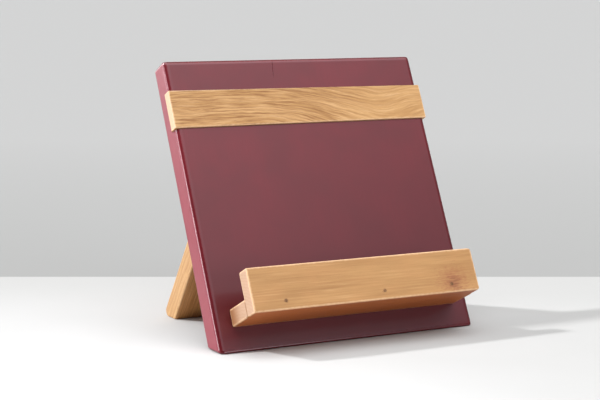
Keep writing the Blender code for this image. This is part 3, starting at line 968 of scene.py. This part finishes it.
def leg_outline():
    """Side of the leg: foot flat on the table, rounded heel, top cut along the board."""
    front = LEG_LOW.y
    back = LEG_HIGH.y
    axis_height = JOINT["pos_m"][2]

    def floor_at(y):
        return -(axis_height + y * math.sin(SPLAY)) / math.cos(SPLAY)

    def bevel_at(y):
        rise = LEG_LOW.y - LEG_TOP_GAP + y * math.cos(OPEN_ANGLE)
        return rise / math.sin(OPEN_ANGLE)

    heel = (back, floor_at(back))
    toe = (front, floor_at(front))
    outline = [(front, bevel_at(front)), toe]
    top = (back, bevel_at(back))
    outline += round_corner(toe, heel, top, LEG_HEEL_ROUND, 10)
    outline.append(top)
    return outline


def make_leg():
    """Rear leg, which stands on its foot and folds about the hinge pins."""
    mesh = prism("leg_plank", leg_outline(), LEG_LOW.x, LEG_HIGH.x)
    leg = add("leg_plank", mesh, LEG)
    bevel(leg, LEG_EASE, 4)
    cutters = hinge_wells("moving", LEG, LEG_LOW.y, 1)
    carve(leg, cutters)
    bake(leg, cutters)
    give(leg, LEG_WOOD)
    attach(leg, "rear_leg")
    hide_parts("leg")


# ---- the floor, the lights and the camera --------------------------------


def make_floor():
    """Pale table, with painted shade to the right and further back, that turns into the grey
    wall's tones a set way from the camera.
    """
    size = FLOOR_HALF
    points = [(-size, -size, 0.0), (size, -size, 0.0), (size, size, 0.0), (-size, size, 0.0)]
    mesh = bpy.data.meshes.new("floor")
    mesh.from_pydata(points, [], [(0, 1, 2, 3)])
    floor = add("floor", mesh, Matrix.Identity(4))
    look = Look("pale_table")
    ahead = look.math("ADD",
                      look.math("MULTIPLY", look.x, math.sin(CAMERA_YAW)),
                      look.math("MULTIPLY", look.y, math.cos(CAMERA_YAW)))
    start = CAMERA_PLACE.x * math.sin(CAMERA_YAW) + CAMERA_PLACE.y * math.cos(CAMERA_YAW)
    depth = look.math("SUBTRACT", ahead, start * 1000.0)
    side = look.math("SUBTRACT",
                     look.math("MULTIPLY", look.x, math.cos(CAMERA_YAW)),
                     look.math("MULTIPLY", look.y, math.sin(CAMERA_YAW)))
    cloud = look.noise(look.place, 0.004, 3.0)
    # painted shade: the table is painted darker to the right and further back; the cloud below
    # adds random mottling
    rightwards = look.span(side, *TABLE_SIDE_TONE, 0.0, 1.0, True)
    table = look.blend(rightwards, TABLE_LEFT, TABLE_RIGHT_PAINTED_SHADE)
    table = look.blend(look.span(depth, *TABLE_BACK_TONE, 0.0, 0.8, True), table, TABLE_FAR_SHADE_AND_MOTTLE)
    table = look.blend(look.span(cloud, 0.4, 0.7, 0.0, 0.25), table, TABLE_FAR_SHADE_AND_MOTTLE)
    wall = look.blend(look.span(depth, TABLE_END, WALL_END, 0.0, 1.0), WALL_NEAR, WALL_FAR)
    edge = look.span(depth, TABLE_END - 1.5, TABLE_END + 1.5)
    colour = look.blend(edge, table, wall)
    normal = look.bump(look.noise(look.place, 0.2, 2.0), 0.00002, 0.2)
    look.shader.inputs["Specular IOR Level"].default_value = 0.0
    rough = look.span(cloud, 0.3, 0.7, 0.6, 0.7)
    give(floor, look.finish(colour, rough, normal))
    floor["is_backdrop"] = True


def make_sun(name, towards, strength, angle):
    """White sun lamp in the given direction; angle is its size in degrees."""
    data = bpy.data.lights.new(name, "SUN")
    data.energy = strength
    data.angle = math.radians(angle)
    item = bpy.data.objects.new(name, data)
    item.rotation_mode = "QUATERNION"
    item.rotation_quaternion = Vector(towards).to_track_quat("Z", "Y")
    bpy.context.scene.collection.objects.link(item)


def make_lights():
    """Four lamps, and a room that is bright overhead and dim up and in front."""
    for sun in SUNS:
        make_sun(*sun)
    world = bpy.data.worlds.new("soft_room")
    bpy.context.scene.world = world
    world.use_nodes = True
    tree = world.node_tree
    background = tree.nodes["Background"]
    background.inputs["Color"].default_value = (1.0, 1.0, 1.0, 1.0)
    coords = tree.nodes.new("ShaderNodeTexCoord")
    bright = room_lobe(tree, coords, *ROOM_BRIGHT)
    dim = room_lobe(tree, coords, *ROOM_DIM)
    total = world_sum(tree, world_sum(tree, bright, dim), ROOM_LEVEL)
    tree.links.new(total, background.inputs["Strength"])


def room_lobe(tree, coords, towards, low, high, most):
    """Change in the room's light around one direction, from low to high in cosine."""
    dot = tree.nodes.new("ShaderNodeVectorMath")
    dot.operation = "DOT_PRODUCT"
    tree.links.new(coords.outputs["Generated"], dot.inputs[0])
    dot.inputs[1].default_value = Vector(towards).normalized()
    span = tree.nodes.new("ShaderNodeMapRange")
    span.interpolation_type = "SMOOTHSTEP"
    tree.links.new(dot.outputs["Value"], span.inputs["Value"])
    span.inputs["From Min"].default_value = low
    span.inputs["From Max"].default_value = high
    span.inputs["To Min"].default_value = 0.0
    span.inputs["To Max"].default_value = most
    return span.outputs["Result"]


def world_sum(tree, a, b):
    """A socket plus another socket or a number."""
    node = tree.nodes.new("ShaderNodeMath")
    node.operation = "ADD"
    tree.links.new(a, node.inputs[0])
    if isinstance(b, bpy.types.NodeSocket):
        tree.links.new(b, node.inputs[1])
    else:
        node.inputs[1].default_value = b
    return node.outputs[0]


def make_camera():
    """Camera at the photograph's viewing angle."""
    data = bpy.data.cameras.new("camera")
    data.lens = CAMERA_LENS
    data.sensor_width = 36.0
    data.clip_end = 500.0
    camera = bpy.data.objects.new("camera", data)
    turn = Euler((math.pi / 2 - CAMERA_PITCH, 0.0, -CAMERA_YAW))
    camera.matrix_world = Matrix.Translation(CAMERA_PLACE) @ turn.to_matrix().to_4x4()
    bpy.context.scene.collection.objects.link(camera)
    bpy.context.scene.camera = camera
    bpy.context.scene.view_settings.view_transform = "Standard"


# ---- build ---------------------------------------------------------------


def brad_places():
    """Each nail's place on the lip's face, in millimetres."""
    places = []
    for spot in SPOTS_ALONG:
        low, high = reach("lip_brad_" + spot, STAND)
        centre = (low + high) / 2
        places.append((centre.x * 1000.0, centre.z * 1000.0))
    return places


NAILS = brad_places()
PAINT = paint_look()
OAK = oak_look()
KNOT = (NAILS[2][0] + 2.5, NAILS[2][1] + 2.0)
LIP_WOOD = ledge_look("oiled_hardwood_lip", (LIP_LOW, LIP_HIGH), NAILS, KNOT)
SHELF_WOOD = ledge_look("oiled_hardwood_shelf", (SHELF_LOW, SHELF_HIGH), [], None)
LEG_WOOD = leg_look()
BRASS = metal_look("satin_brass", BRASS_BRIGHT, BRASS_DULL, 0.26, 0.42, BRUSHED)
SCREW_BRASS = metal_look("screw_brass", SCREW_BRIGHT, SCREW_DULL, 0.22, 0.38, EVEN)
STEEL = metal_look("plain_steel", STEEL_BRIGHT, STEEL_DULL, 0.3, 0.45, EVEN)
NAIL = metal_look("darkened_nail", NAIL_BRIGHT, NAIL_DULL, 0.5, 0.7, EVEN)
NAIL.node_tree.nodes["Principled BSDF"].inputs["Metallic"].default_value = NAIL_METALLIC

make_board()
make_strip()
make_shelf()
make_lip()
make_leg()
for node in NODES:
    if node.startswith("screw_hinge"):
        refinish(node, SCREW_BRASS)
    elif node.startswith("hinge") and node.endswith("leaf"):
        refinish(node, BRASS)
    elif node.startswith("hinge") or node.startswith("shelf_screw"):
        refinish(node, STEEL)
    elif node.startswith("lip_brad"):
        refinish(node, NAIL)

make_floor()
make_lights()
make_camera()


def plain(bounds):
    """The same corners as lists of plain numbers."""
    return [[float(value) for value in corner] for corner in bounds]


{"cad": plain(CAD_BOUNDS), "visual": plain(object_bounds())}
